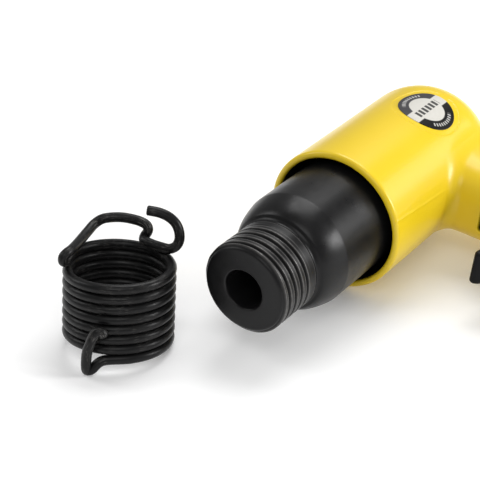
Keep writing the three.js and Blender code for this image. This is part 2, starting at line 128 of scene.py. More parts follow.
def give_uv(obj, uv):
    """One texture point for each mesh point."""
    layer = obj.data.uv_layers.new(name="surface")
    corner = np.zeros(len(obj.data.loops), np.int32)
    obj.data.loops.foreach_get("vertex_index", corner)
    layer.data.foreach_set("uv", np.asarray(uv, np.float32)[corner].ravel())


def finish_piece(obj, body, nodes, material):
    obj.data.materials.append(material)
    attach(obj, body)
    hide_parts(*nodes)
    return obj


def smoothstep(start, end, value):
    t = np.clip((value - start) / (end - start), 0, 1)
    return t * t * (3 - 2 * t)


def bell(value, width):
    """1 at zero, falling off smoothly over that width to each side."""
    return np.exp(-((value / width) ** 2))


# ---------- signed distances, negative inside ----------
SLOPE_REACH = 0.03  # mm to each side of a point, where its field's slope is measured
SETTLE_ROUNDS, LONGEST_MOVE = 4, 0.4  # the longest move onto the surface is a share of a cell
LEAST_STEEPNESS, TINY = 0.05, 1e-9


def join_round(a, b, radius):
    """Both shapes, with a fillet of that radius between them."""
    bend = np.hypot(np.maximum(radius - a, 0), np.maximum(radius - b, 0))
    return np.maximum(radius, np.minimum(a, b)) - bend


def meet_round(a, b, radius):
    """What both shapes share, with its edge rounded to that radius."""
    bend = np.hypot(np.maximum(radius + a, 0), np.maximum(radius + b, 0))
    return np.minimum(-radius, np.maximum(a, b)) + bend


def cut_round(a, b, radius):
    """a without b, with the edge rounded to that radius."""
    return meet_round(a, -b, radius)


def rod_field(x, y, z, start, end, radius):
    """A flat-ended rod between two points."""
    start, end = np.array(start, float), np.array(end, float)
    length = norm(end - start)
    direction = (end - start) / length
    dx, dy, dz = x - start[0], y - start[1], z - start[2]
    along = dx * direction[0] + dy * direction[1] + dz * direction[2]
    across = np.sqrt(np.maximum(dx * dx + dy * dy + dz * dz - along * along, 0))
    return np.maximum(across - radius, np.maximum(-along, along - length))


def outline_field(x, y, outline):
    """Signed distance to a closed outline in the XY plane."""
    best, sign = None, None
    for (x0, y0), (x1, y1) in zip(outline, np.roll(outline, -1, axis=0)):
        ex, ey, wx, wy = x1 - x0, y1 - y0, x - x0, y - y0
        t = np.clip((wx * ex + wy * ey) / (ex * ex + ey * ey), 0, 1)
        distance = (wx - ex * t) ** 2 + (wy - ey * t) ** 2
        over, under, left = wy >= 0, y < y1, ex * wy > ey * wx
        flip = (over & under & left) | (~over & ~under & ~left)
        best = distance if best is None else np.minimum(best, distance)
        sign = np.where(flip, -1.0, 1.0) if sign is None else np.where(flip, -sign, sign)
    return sign * np.sqrt(best)


def cell_points(value):
    """(points, number): a point in each cell that the surface crosses, and each cell's number, or -1."""
    inside = value < 0
    size = np.array(inside.shape) - 1
    corners = [(i, j, k) for i in (0, 1) for j in (0, 1) for k in (0, 1)]
    filled = sum(
        inside[i : size[0] + i, j : size[1] + j, k : size[2] + k].astype(np.uint8)
        for i, j, k in corners
    )
    active = (filled > 0) & (filled < len(corners))
    cells = np.argwhere(active)
    number = np.full(active.shape, -1, np.int64)
    number[active] = np.arange(len(cells))
    total, hits = np.zeros((len(cells), 3)), np.zeros(len(cells))
    for corner in corners:
        for axis in range(3):
            if corner[axis]:
                continue
            other = np.array(corner)
            other[axis] = 1
            a = value[tuple((cells + corner).T)]
            b = value[tuple((cells + other).T)]
            crossed = (a < 0) != (b < 0)
            share = np.divide(a, a - b, out=np.zeros_like(a), where=crossed)
            point = (cells + corner).astype(float)
            point[:, axis] += share
            total += point * crossed[:, None]
            hits += crossed
    return total / hits[:, None], number


def cell_quads(inside, number):
    """Quads facing out, one for each grid edge that the surface crosses, from the four cells round it."""
    size = np.array(inside.shape) - 1
    quads = []
    for axis in range(3):
        u, v = (axis + 1) % 3, (axis + 2) % 3
        first, second = [slice(None)] * 3, [slice(None)] * 3
        first[axis], second[axis] = slice(0, -1), slice(1, None)
        a, b = inside[tuple(first)], inside[tuple(second)]
        edges = np.argwhere(a != b)
        at_u, at_v = edges[:, u], edges[:, v]
        edges = edges[(at_u > 0) & (at_v > 0) & (at_u < size[u]) & (at_v < size[v])]
        leaving = a[tuple(edges.T)]
        ring = []
        for du, dv in ((-1, -1), (0, -1), (0, 0), (-1, 0)):
            at = edges.copy()
            at[:, u] += du
            at[:, v] += dv
            ring.append(number[tuple(at.T)])
        ring = np.stack(ring, axis=1)
        quads.append(np.where(leaving[:, None], ring, ring[:, ::-1]))
    return np.concatenate(quads)


def slope_of(field, points):
    parts = []
    for axis in range(3):
        step = np.zeros(3)
        step[axis] = SLOPE_REACH
        parts.append((field(*(points + step).T) - field(*(points - step).T)) / (2 * SLOPE_REACH))
    return np.stack(parts, axis=1)


def surface_of(field, low, high, cell):
    """(points, quads, normals) of the surface where field(x, y, z) is zero."""
    lines = [np.arange(a, b + cell, cell) for a, b in zip(low, high)]
    value = field(*np.meshgrid(*lines, indexing="ij", sparse=True))
    points, number = cell_points(value)
    quads = cell_quads(value < 0, number)
    points = points * cell + np.array(low, float)
    for _ in range(SETTLE_ROUNDS):
        slope = slope_of(field, points)
        steepness = np.maximum((slope**2).sum(axis=1), LEAST_STEEPNESS)
        move = (field(*points.T) / steepness)[:, None] * slope
        length = np.maximum(norm(move, axis=1), TINY)
        points = points - move * np.minimum(1, LONGEST_MOVE * cell / length)[:, None]
    normals = slope_of(field, points)
    normals /= np.maximum(norm(normals, axis=1), TINY)[:, None]
    return points, quads, normals


def carved(name, field, grid, values=None):
    """A mesh in the row frame of a field drawn in the tool's frame, from a grid (low, high, cell).

    values maps the name of a point value to its rule, a function of x, y and z.
    """
    points, quads, normals = surface_of(field, *grid)
    made = add_mesh(name, to_row(points), quads, normals=normals @ TOOL_AXES)
    for key, rule in (values or {}).items():
        give_values(made, key, rule(*points.T))
    return made


# ---------- turned and swept meshes ----------
ARC_POINTS, ARC_SHARE = 5, 0.45  # a corner's arc takes at most this share of each side
ROUTE_SAMPLES = 24  # between two knots, before a route's points are spaced evenly


def circle(count):
    """Angles evenly spaced round one turn."""
    return np.arange(count) / count * TURN


def ring_quads(rows, columns, close_rows=False):
    """Quads over a grid of points whose columns close on themselves."""
    quads = []
    for i in range(rows if close_rows else rows - 1):
        here, there = i * columns, ((i + 1) % rows) * columns
        j = np.arange(columns)
        k = (j + 1) % columns
        quads.append(np.stack([here + j, there + j, there + k, here + k], axis=1))
    return np.concatenate(quads)


def fan(centre, first, columns):
    """Triangles from a point to the ring of points that starts at first."""
    j = np.arange(columns)
    return np.stack([np.full(columns, centre), first + j, first + (j + 1) % columns], axis=1)


def rounded(outline, radius):
    """The closed outline, a list of points, with each corner turned into a small arc.

    A corner may name its own radius as a third number.
    """
    made = []
    flat = np.array([corner[:2] for corner in outline], float)
    for i, corner in enumerate(outline):
        before, here, after = flat[i - 1], flat[i], flat[(i + 1) % len(flat)]
        reach = corner[2] if len(corner) > 2 else radius
        to_before, to_after = before - here, after - here
        room = ARC_SHARE * min(norm(to_before), norm(to_after))
        reach = min(reach, room)
        if reach < TINY:
            made.append(here)
            continue
        start = here + to_before / norm(to_before) * reach
        end = here + to_after / norm(to_after) * reach
        for t in np.linspace(0, 1, ARC_POINTS):
            made.append((1 - t) ** 2 * start + 2 * t * (1 - t) * here + t * t * end)
    return np.array(made)


def turned(name, outline, columns, place):
    """A closed outline of (radius, along) turned round an axis.

    place maps (radius, along, angle) to the row frame.
    """
    grid = np.broadcast_arrays(outline[:, :1], outline[:, 1:], circle(columns)[None])
    points = place(*grid).reshape(-1, 3)
    return add_mesh(name, points, ring_quads(len(outline), columns, close_rows=True))


def walked_along(route):
    """The distance from the route's start to each of its points."""
    return np.concatenate([[0], np.cumsum(norm(np.diff(route, axis=0), axis=1))])


def smooth_route(knots, spacing):
    """A centripetal Catmull-Rom curve through the knots, as evenly spaced points."""
    knots = np.array(knots, float)
    ends = [2 * knots[0] - knots[1], *knots, 2 * knots[-1] - knots[-2]]
    dense = []
    for p0, p1, p2, p3 in zip(ends, ends[1:], ends[2:], ends[3:]):
        t1 = norm(p1 - p0) ** 0.5
        t2 = t1 + norm(p2 - p1) ** 0.5
        t3 = t2 + norm(p3 - p2) ** 0.5
        t = np.linspace(t1, t2, ROUTE_SAMPLES, endpoint=False)[:, None]

        def between(a, b, start, end):
            return (end - t) / (end - start) * a + (t - start) / (end - start) * b

        a1, a2, a3 = between(p0, p1, 0, t1), between(p1, p2, t1, t2), between(p2, p3, t2, t3)
        b1, b2 = between(a1, a2, 0, t2), between(a2, a3, t1, t3)
        dense.append(between(b1, b2, t1, t2))
    dense = np.concatenate([*dense, knots[-1:]])
    walked = walked_along(dense)
    even = np.linspace(0, walked[-1], int(round(walked[-1] / spacing)) + 1)
    return np.stack([np.interp(even, walked, dense[:, k]) for k in range(3)], axis=1)


def swept(route, radius, sides, end_round):
    """(points, quads, triangles, uv) of a round wire along a route, with rounded ends."""
    tangent = np.gradient(route, axis=0)
    tangent /= norm(tangent, axis=1)[:, None]
    side = np.cross(tangent[0], [0.3, 0.2, 1.0])  # any direction across the wire
    side /= norm(side)
    walked = walked_along(route)
    from_end = np.minimum(walked, walked[-1] - walked)
    into_end = np.maximum(end_round - from_end, 0)
    inset = end_round - np.sqrt(np.maximum(end_round**2 - into_end**2, 0))
    angle = circle(sides)
    points, uv = [], []
    for i, at in enumerate(route):
        side = side - tangent[i] * (side @ tangent[i])
        side /= norm(side)
        other = np.cross(tangent[i], side)
        ring = np.outer(np.cos(angle), side) + np.outer(np.sin(angle), other)
        points.append(at + ring * (radius - inset[i]))
        uv.append(np.stack([np.full(sides, walked[i] * MM), angle * radius * MM], axis=1))
    count = len(route)
    points = np.concatenate([*points, route[:1], route[-1:]])
    uv = np.concatenate([*uv, [[0, 0]], [[walked[-1] * MM, 0]]])
    quads = ring_quads(count, sides)[:, ::-1]
    first_cap = fan(count * sides, 0, sides)[:, [0, 2, 1]]
    last_cap = fan(count * sides + 1, (count - 1) * sides, sides)
    return points, quads, np.concatenate([first_cap, last_cap]), uv


# ---------- materials ----------
class Finish:
    """A node material, made with short calls."""

    def __init__(self, name):
        self.material = bpy.data.materials.new(name)
        self.material.use_nodes = True
        self.tree = self.material.node_tree
        self.shader = self.tree.nodes["Principled BSDF"]
        self.here = self.node("ShaderNodeTexCoord").outputs["Object"]

    def node(self, kind, **settings):
        made = self.tree.nodes.new(kind)
        for key, value in settings.items():
            setattr(made, key, value)
        return made

    def put(self, socket, value):
        if isinstance(value, bpy.types.NodeSocket):
            self.tree.links.new(value, socket)
        else:
            socket.default_value = value

    def fill(self, node, **values):
        """A node's inputs by name, with _ for a space."""
        for key, value in values.items():
            self.put(node.inputs[key.replace("_", " ")], value)

    def set(self, **values):
        self.fill(self.shader, **values)

    def math(self, operation, a, b=0.0):
        made = self.node("ShaderNodeMath", operation=operation)
        self.put(made.inputs[0], a)
        self.put(made.inputs[1], b)
        return made.outputs[0]

    def times(self, a, b):
        return self.math("MULTIPLY", a, b)

    def vector(self, operation, a, b=(0, 0, 0)):
        made = self.node("ShaderNodeVectorMath", operation=operation)
        self.put(made.inputs[0], a)
        self.put(made.inputs[1], b)
        return made.outputs

    def parts(self, vector):
        made = self.node("ShaderNodeSeparateXYZ")
        self.put(made.inputs[0], vector)
        return made.outputs

    def scaled(self, vector, scale):
        made = self.node("ShaderNodeMapping")
        self.fill(made, Vector=vector, Scale=scale)
        return made.outputs[0]

    def noise(self, scale, detail=2.0, roughness=0.5, vector=None):
        made = self.node("ShaderNodeTexNoise")
        self.fill(made, Vector=vector or self.here, Scale=scale, Detail=detail, Roughness=roughness)
        return made.outputs[0]

    def steps(self, value, low, high, to_low=0.0, to_high=1.0):
        """value from low..high to to_low..to_high, and no further."""
        made = self.node("ShaderNodeMapRange", clamp=True)
        self.fill(made, Value=value, From_Min=low, From_Max=high, To_Min=to_low, To_Max=to_high)
        return made.outputs[0]

    def spread(self, noise, to_low, to_high):
        """A noise's usual values, 0.3 to 0.7, taken to to_low..to_high."""
        return self.steps(noise, 0.3, 0.7, to_low, to_high)

    def mix(self, share, a, b):
        made = self.node("ShaderNodeMix", data_type="RGBA")
        self.put(made.inputs["Factor"], share)
        for socket, value in ((made.inputs[6], a), (made.inputs[7], b)):
            self.put(socket, value if isinstance(value, bpy.types.NodeSocket) else (*value, 1.0))
        return made.outputs[2]

    def value(self, name):
        return self.node("ShaderNodeAttribute", attribute_name=name).outputs["Fac"]

    def edges(self, low, high):
        """0 on flat places, 1 on sharp outer edges."""
        return self.steps(self.node("ShaderNodeNewGeometry").outputs["Pointiness"], low, high)

    def bump(self, height, distance, under=None):
        """Normals of relief that deep, in metres, over those of another relief."""
        made = self.node("ShaderNodeBump")
        self.fill(made, Strength=1.0, Distance=distance, Height=height)
        if under:
            self.fill(made, Normal=under)
        return made.outputs[0]

    def radial(self, centre):
        """Distance from an axis along Y through a point of the row frame."""
        moved = self.vector("SUBTRACT", self.here, tuple(centre))[0]
        flat = self.vector("MULTIPLY", moved, (1, 0, 1))[0]
        return self.vector("LENGTH", flat)["Value"]

    def rings(self, centre):
        """A coordinate that is constant round an axis along Y, on its sides and its ends alike."""
        both = self.math("ADD", self.radial(centre), self.parts(self.here)["Y"])
        made = self.node("ShaderNodeCombineXYZ")
        self.put(made.inputs[0], both)
        return made.outputs[0]


def paint():
    made = Finish("yellow_paint")
    tone = made.mix(made.noise(38, 3), (0.745, 0.525, 0.011), (0.785, 0.560, 0.015))
    thin = made.mix(made.times(made.edges(0.54, 0.64), 0.35), tone, (0.88, 0.68, 0.11))
    dust = made.steps(made.noise(2600, 1), 0.70, 0.78)
    dusty = made.mix(made.times(dust, 0.12), thin, (0.66, 0.55, 0.27))
    dark_inside = made.value("dark_inside")
    # Near-black and rougher within the bores and the slot, as marked on the casting.
    made.set(Base_Color=made.mix(dark_inside, dusty, (0.006, 0.006, 0.006)))
    rough = made.spread(made.noise(40, 3), 0.28, 0.34)
    made.set(Roughness=made.math("MAXIMUM", rough, made.times(dark_inside, 0.6)))
    wavy = made.bump(made.noise(60, 1), 30 * MICRON)
    peel = made.bump(made.noise(780, 2, 0.55), 10 * MICRON, under=wavy)
    made.set(Normal=made.bump(dust, 4 * MICRON, under=peel))
    made.set(Coat_Weight=0.16, Coat_Roughness=0.16, IOR=1.48, Specular_IOR_Level=0.36)
    return made.material


def black_oxide(name, centre=None, wear=0.35):
    """Blackened steel. centre is a point of the axis that its turning marks run round."""
    made = Finish(name)
    cloud = made.noise(160, 5, 0.6)
    tone = made.mix(cloud, (0.0036, 0.0036, 0.0040), (0.0066, 0.0064, 0.0067))
    patchy = made.steps(made.noise(900, 4, 0.7), 0.35, 0.65)
    rubbed = made.times(made.edges(0.53, 0.62), patchy)
    tone = made.mix(made.times(rubbed, wear), tone, (0.10, 0.097, 0.094))
    uneven = made.steps(made.noise(500, 4, 0.7), 0.30, 0.62, 0.45, 1.0)
    bright = made.times(made.value("worn"), uneven)
    tone = made.mix(bright, tone, (0.15, 0.146, 0.142))
    speck = made.steps(made.noise(3400, 2), 0.66, 0.76)
    made.set(Base_Color=made.mix(made.times(speck, 0.2), tone, (0.035, 0.033, 0.031)))
    made.set(Roughness=made.spread(made.noise(240, 4, 0.6), 0.27, 0.38))
    made.set(Metallic=made.times(bright, 0.8), IOR=1.5, Specular_IOR_Level=0.24)
    grain = made.bump(made.noise(2400, 3, 0.6), 4.5 * MICRON)
    if centre is not None:
        lines = made.noise(9000, 1, vector=made.rings(centre))
        grain = made.bump(lines, 3.4 * MICRON, under=grain)
    made.set(Normal=grain)
    return made.material


def spring_steel():
    made = Finish("spring_black_oxide")
    uv = made.node("ShaderNodeUVMap", uv_map="surface").outputs[0]
    streak = made.noise(1.0, 3, 0.65, vector=made.scaled(uv, (420, 2600, 1)))
    bend = made.value("bend")
    patch = made.steps(made.noise(120, 3, 0.6), 0.44, 0.58)
    worn = made.times(made.steps(streak, 0.52, 0.66), made.steps(bend, 0.08, 0.5, 0.30, 0.85))
    worn = made.times(worn, patch)
    tone = made.mix(made.noise(300, 4, 0.6), (0.0036, 0.0036, 0.0039), (0.0068, 0.0067, 0.0069))
    made.set(Base_Color=made.mix(made.times(worn, 0.85), tone, (0.16, 0.152, 0.142)))
    made.set(Roughness=made.spread(made.noise(700, 4, 0.65), 0.27, 0.42))
    made.set(IOR=1.5, Specular_IOR_Level=0.20)
    grain = made.bump(made.noise(1500, 4, 0.65), 12 * MICRON)
    made.set(Normal=made.bump(streak, 10 * MICRON, under=grain))
    return made.material


def moulded_black():
    made = Finish("trigger_black")
    tone = made.mix(made.noise(220, 4), (0.0032, 0.0032, 0.0036), (0.0065, 0.0065, 0.0069))
    rubbed = made.times(made.edges(0.53, 0.62), 0.3)
    made.set(Base_Color=made.mix(rubbed, tone, (0.03, 0.03, 0.031)))
    made.set(Roughness=made.spread(made.noise(500, 3), 0.36, 0.48))
    made.set(Normal=made.bump(made.noise(2600, 3, 0.6), 10 * MICRON), IOR=1.49, Specular_IOR_Level=0.12)
    return made.material


def machined(name, dark, light, centre=None):
    """Bare machined metal, for what is inside."""
    made = Finish(name)
    made.set(Base_Color=made.mix(made.noise(260, 4, 0.6), dark, light), Metallic=1.0)
    made.set(Roughness=made.spread(made.noise(500, 3), 0.22, 0.38))
    grain = made.bump(made.noise(2200, 3), 4 * MICRON)
    if centre is not None:
        grain = made.bump(made.noise(8000, 1, vector=made.rings(centre)), 4 * MICRON, under=grain)
    made.set(Normal=grain)
    return made.material


def rubber():
    made = Finish("seal_rubber")
    made.set(Base_Color=made.mix(made.noise(300, 4), (0.010, 0.010, 0.010), (0.026, 0.025, 0.024)))
    made.set(Roughness=made.spread(made.noise(900, 3), 0.62, 0.85))
    made.set(Normal=made.bump(made.noise(2600, 3), 12 * MICRON))
    return made.material


LABEL_BAND = 0.63  # where the dark bands start, as a share of the label's radius
LABEL_STRIP = 0.235  # half the width of the light strip between them
TICK_WAVES, TICK_MIDDLE, TICK_HALF = 44, 0.80, 0.062  # ticks are waves round the label
BAR_WAVES, BAR_HALF, BAR_REACH = 29, 0.135, 0.66  # bars are waves along the strip
PRINT_EDGE = 0.012  # half the width over which the print's colours change


def label_film():
    """A printed film: a pale disc with two dark arcs, a pale strip, and plain ticks and bars."""
    made = Finish("label_film")
    uv = made.node("ShaderNodeUVMap", uv_map="surface").outputs[0]
    along, across = made.parts(uv)["X"], made.parts(uv)["Y"]
    square = made.math("ADD", made.times(along, along), made.times(across, across))
    distance = made.math("SQRT", square)
    turn = made.math("ARCTAN2", across, along)

    def over(value, edge):
        return made.steps(value, edge - PRINT_EDGE, edge + PRINT_EDGE)

    def within(value, middle, half):
        off = made.math("ABSOLUTE", made.math("SUBTRACT", value, middle))
        return made.steps(off, half - PRINT_EDGE, half + PRINT_EDGE, 1, 0)

    off_strip = over(made.math("ABSOLUTE", across), LABEL_STRIP)
    band = made.times(over(distance, LABEL_BAND), off_strip)
    # Ticks along the middle of each band.
    wave = made.math("SINE", made.times(turn, TICK_WAVES))
    tick = made.times(made.steps(wave, -0.25, 0.15), within(distance, TICK_MIDDLE, TICK_HALF))
    reach = made.math("ABSOLUTE", made.math("SUBTRACT", made.math("ABSOLUTE", turn), math.pi / 2))
    tick = made.times(tick, made.steps(reach, 0.70, 0.74, 1, 0))
    # A row of plain bars along the strip.
    wave = made.math("SINE", made.times(along, BAR_WAVES))
    bar = made.times(made.steps(wave, -0.55, -0.2), within(across, 0, BAR_HALF))
    bar = made.times(bar, within(along, 0, BAR_REACH))
    film = made.mix(made.noise(700, 3), (0.56, 0.545, 0.50), (0.62, 0.60, 0.555))
    dark = made.mix(made.steps(across, -0.01, 0.01), (0.0045, 0.0042, 0.0042), (0.046, 0.044, 0.050))
    colour = made.mix(band, film, dark)
    printed = made.times(made.times(tick, band), 0.75)
    colour = made.mix(printed, colour, (0.62, 0.61, 0.59))
    made.set(Base_Color=made.mix(made.times(bar, 0.92), colour, (0.008, 0.008, 0.009)))
    made.set(Roughness=made.spread(made.noise(400, 3), 0.30, 0.42))
    made.set(Normal=made.bump(made.noise(1200, 2), 8 * MICRON))
    made.set(IOR=1.46, Coat_Weight=0.05, Coat_Roughness=0.12, Specular_IOR_Level=0.22)
    return made.material


# ---------- housing ----------
BODY_RADIUS, BODY_FRONT, RIM_ROUND = 26.0, 55.0, 1.5
MOUTH_RADIUS, MOUTH_END, MOUTH_ROUND = 23.5, 84.5, 0.8
DOME_START, DOME_DEPTH, DOME_WALL = 117.8, 23.4, 2.0
SOCKETS = [(21.3, 109.2), (18.8, 122.6), (11.0, 134.0)]  # radius and end: barrel, valve and plenum
HANDLE_START, HANDLE_END, HANDLE_CORNER, HANDLE_SHAPE, HANDLE_FILLET = 8.0, 108.0, 3.5, 2.6, 4.0
GRIP_START, GRIP_LENGTH, GRIP_SWELL = 42.0, 62.0, 1.6  # the part that swells for the hand
GRIP_FRONT, GRIP_FRONT_SLOPE, GRIP_REAR, GRIP_REAR_SLOPE = 93.2, 0.09, 132.0, 0.054
GRIP_HALF, GRIP_EXTRA, GRIP_FADE = 13.5, 1.6, 25.0  # half the width, and what it gains towards the body
ROOT_START, ROOT_FADE, ROOT_EXTRA, ROOT_REAR = 20.0, 5.0, 1.2, 0.5
PIVOT_X, PIVOT_Y, THROTTLE_X, REGULATOR_X, INLET_Y = 46.0, 100.0, 62.0, 90.0, 119.0
PIN_HOLE, PIN_HOLE_ROUND, PIN_REACH = 2.3, 0.35, 20.0
SLOT_START, SLOT_END, SLOT_FRONT, SLOT_FLOOR, SLOT_HALF = 38.0, 80.0, 81.0, 105.0, 5.8
SLOT_CORNER, SLOT_ROUND = 1.2, 0.55
DRILLED = [  # start, end and radius
    ([THROTTLE_X, 104, 0], [THROTTLE_X, 128, 0], 6.3),  # holds the throttle
    ([5, 131, 0], [THROTTLE_X - 4, 109, 0], 2.5),  # leads air from the throttle to the plenum
    ([THROTTLE_X, INLET_Y, 0], [110, INLET_Y, 0], 4.2),  # leads air from the inlet to the throttle
    ([95, INLET_Y, 0], [110, INLET_Y, 0], 6.9),  # holds the inlet bushing
    ([REGULATOR_X, 116, 0], [REGULATOR_X, 150, 0], 4.2),  # holds the regulator
    ([19.3, 100, 0], [33.5, 100, 0], 2.3),  # holds the barrel lock
]
LABEL_Y, LABEL_LEAN, LABEL_RADIUS = 107.0, math.radians(9), 10.8
RECESS_DEPTH, RECESS_INNER, RECESS_OUTER = 0.2, 12.95, 13.4  # the shallow dish that the label lies in
SEAM_ANGLE, SEAM_TWIST = 66.4, 0.18  # degrees round from the left side, and per mm along the body
SEAM_HEIGHT, SEAM_SPREAD, SEAM_FADE, SEAM_END = 0.13, 1.1, 86.0, 92.0
HOUSING_GRID = ((-27.1, 54.1, -27.1), (109.2, 141.4, 27.1), 0.6)


def label_place(x, y, z):
    """Distance from the label's centre, measured over the housing's side."""
    around = BODY_RADIUS * (np.arctan2(x, z) - LABEL_LEAN)
    return np.hypot(y - LABEL_Y, around)


def body_field(x, y, z):
    radial = np.hypot(x, z)
    back = np.maximum(y - DOME_START, 0) / DOME_DEPTH
    level = np.hypot(radial / BODY_RADIUS, back)
    slope = np.hypot(radial / BODY_RADIUS**2, back / DOME_DEPTH) / np.maximum(level, 1e-3)
    shell = (level - 1) / np.maximum(slope, 1e-3)
    shell = shell + RECESS_DEPTH * (1 - smoothstep(RECESS_INNER, RECESS_OUTER, label_place(x, y, z)))
    off_seam = np.degrees(np.arctan2(x, z)) - SEAM_ANGLE - SEAM_TWIST * (y - BODY_FRONT)
    seam = SEAM_HEIGHT * bell(off_seam, SEAM_SPREAD) * (1 - smoothstep(SEAM_FADE, SEAM_END, y))
    return meet_round(shell - seam, BODY_FRONT - y, RIM_ROUND)


def handle_field(x, y, z):
    past = np.maximum(x - GRIP_START, 0)
    root = np.exp(-np.maximum(x - ROOT_START, 0) / ROOT_FADE)
    swell = GRIP_SWELL * np.sin(np.minimum(past / GRIP_LENGTH, 1) * math.pi)
    front = GRIP_FRONT + GRIP_FRONT_SLOPE * past + swell - ROOT_EXTRA * root
    rear = GRIP_REAR + GRIP_REAR_SLOPE * past - swell / 2 - ROOT_REAR * root
    half = GRIP_HALF + GRIP_EXTRA * np.exp(-past / GRIP_FADE) + ROOT_EXTRA * root
    reach = (rear - front) / 2
    u, v = np.abs(y - (front + rear) / 2) / reach, np.abs(z) / half
    n = HANDLE_SHAPE
    level = np.maximum((u**n + v**n) ** (1 / n), 1e-3)
    slope = level ** (1 - n) * np.hypot(u ** (n - 1) / reach, v ** (n - 1) / half)
    side = (level - 1) / np.maximum(slope, 1e-3)
    return np.maximum(meet_round(side, x - HANDLE_END, HANDLE_CORNER), HANDLE_START - x)


def slot_field(x, y, z):
    along = np.abs(x - (SLOT_START + SLOT_END) / 2) - (SLOT_END - SLOT_START) / 2
    slot = meet_round(along, np.abs(z) - SLOT_HALF, SLOT_CORNER)
    return np.maximum(np.maximum(slot, y - SLOT_FLOOR), SLOT_FRONT - y)


def pin_hole_field(x, y, z):
    return rod_field(x, y, z, [PIVOT_X, PIVOT_Y, -PIN_REACH], [PIVOT_X, PIVOT_Y, PIN_REACH], PIN_HOLE)


def housing_field(x, y, z):
    radial = np.hypot(x, z)
    made = join_round(body_field(x, y, z), handle_field(x, y, z), HANDLE_FILLET)
    made = cut_round(made, np.maximum(radial - MOUTH_RADIUS, y - MOUTH_END), MOUTH_ROUND)
    for radius, end in SOCKETS:
        made = np.maximum(made, -np.maximum(radial - radius, y - end))
    made = cut_round(made, slot_field(x, y, z), SLOT_ROUND)
    for start, end, radius in DRILLED:
        made = np.maximum(made, -rod_field(x, y, z, start, end, radius))
    return cut_round(made, pin_hole_field(x, y, z), PIN_HOLE_ROUND)


def dark_inside_mask(x, y, z):
    """1 within its bores and its slot, where the casting is coloured near-black and made rougher."""
    radial = np.hypot(x, z)
    dome = DOME_START + DOME_DEPTH * np.sqrt(np.maximum(1 - (radial / BODY_RADIUS) ** 2, 0))
    mouth = 1 - smoothstep(MOUTH_RADIUS + 0.02, MOUTH_RADIUS + 0.3, radial)
    mouth = mouth * smoothstep(BODY_FRONT + 1.0, BODY_FRONT + 1.5, y) * (y < dome - DOME_WALL)
    slot = (np.abs(z) < SLOT_HALF + 0.05) * (x > SLOT_START - 0.1) * (x < SLOT_END + 0.1)
    slot = slot * smoothstep(GRIP_FRONT + 1.0, GRIP_FRONT + 2.0, y) * (y < SLOT_FLOOR + 0.1)
    return np.maximum(mouth, slot)


housing = carved("housing_casting", housing_field, HOUSING_GRID, {"dark_inside": dark_inside_mask})
finish_piece(housing, "tool", ["housing"], paint())

# ---------- barrel ----------
BARREL_RADIUS, BARREL_REAR, BARREL_COLUMNS = 21.0, 109.0, 288
PISTON_BORE, PISTON_BORE_START = 9.55, 30.0
TOOL_BORE, TOOL_BORE_START, TOOL_BORE_END = 5.15, 12.0, 28.0
BORE_MOUTH, BORE_LIP, BORE_ROUND = 7.25, (6.95, 1.0), 0.45  # it tapers from its lip to TOOL_BORE_START
CREST, ROOT, PITCH, FIRST_GROOVE = 16.2, 15.2, 3.5, 2.4
GROOVE_FLOOR, CREST_EDGE = 0.25, 1.0  # from the middle of a groove to its floor's edge and to the crest
FIRST_CREST, FIRST_SLOPE = 1.2, 2.8  # where the chamfered nose reaches the first crest, and how steeply
RUN_OUT_START, RUN_OUT_END = 14.2, 16.2  # where the groove grows shallow
NOSE_CORNER = [(14.0, 0.0), (14.45, 0.08), (14.8, 0.26), (15.05, 0.5), (15.15, 0.75)]
THREAD_START, THREAD_ROW = 0.84, 0.08  # the first row past the nose's corner, and the rows' spacing
WEAR_START, WEAR_END = (0.9, 1.3), (15.0, 16.4)  # where the wear of the crests fades in and out
WEAR_WIDTH, COLLAR_WEAR = 0.2, 0.25
COLLAR_END, NECK_RADIUS = 18.7, 15.8
COVE_START, COVE_END, COVE_RISE = 19.5, 20.95, 0.45  # the hollow between the neck and the shoulder
SHOULDER_START, SHOULDER_END, SHOULDER_RADIUS = 20.6, 31.0, 16.3
BULGE = math.radians(50)  # how far round its arc the shoulder goes before it meets the straight barrel
REAR_CORNER = [(BARREL_RADIUS, 107.8), (20.8, 108.6), (20.2, BARREL_REAR)]


def barrel_outside():
    """(radius, along) of the barrel's outside, from nose to rear, with its thread left out."""
    outline = list(NOSE_CORNER)
    for y in np.arange(THREAD_START, COLLAR_END - 0.25, THREAD_ROW):
        outline.append((min(CREST, CREST - (FIRST_CREST - y) * FIRST_SLOPE), y))
    outline += [(CREST - 0.08, COLLAR_END - 0.1), (CREST - 0.22, COLLAR_END)]
    outline.append((NECK_RADIUS, COLLAR_END + 0.25))
    for y in np.arange(COVE_START, COVE_END, 0.15):
        outline.append((NECK_RADIUS + COVE_RISE * (y - COVE_START) ** 2, y))
    for t in np.linspace(0.2, 1, 24):
        out = math.sin(t * BULGE) / math.sin(BULGE)
        back = (1 - math.cos(t * BULGE)) / (1 - math.cos(BULGE))
        radius = SHOULDER_RADIUS + (BARREL_RADIUS - SHOULDER_RADIUS) * out
        outline.append((radius, SHOULDER_START + (SHOULDER_END - SHOULDER_START) * back))
    outline += [(BARREL_RADIUS, SHOULDER_END + 0.25), (BARREL_RADIUS, SHOULDER_END + 1.5)]
    outline += [(BARREL_RADIUS, y) for y in np.arange(36, 108, 6.0)]
    return np.array(outline + REAR_CORNER)


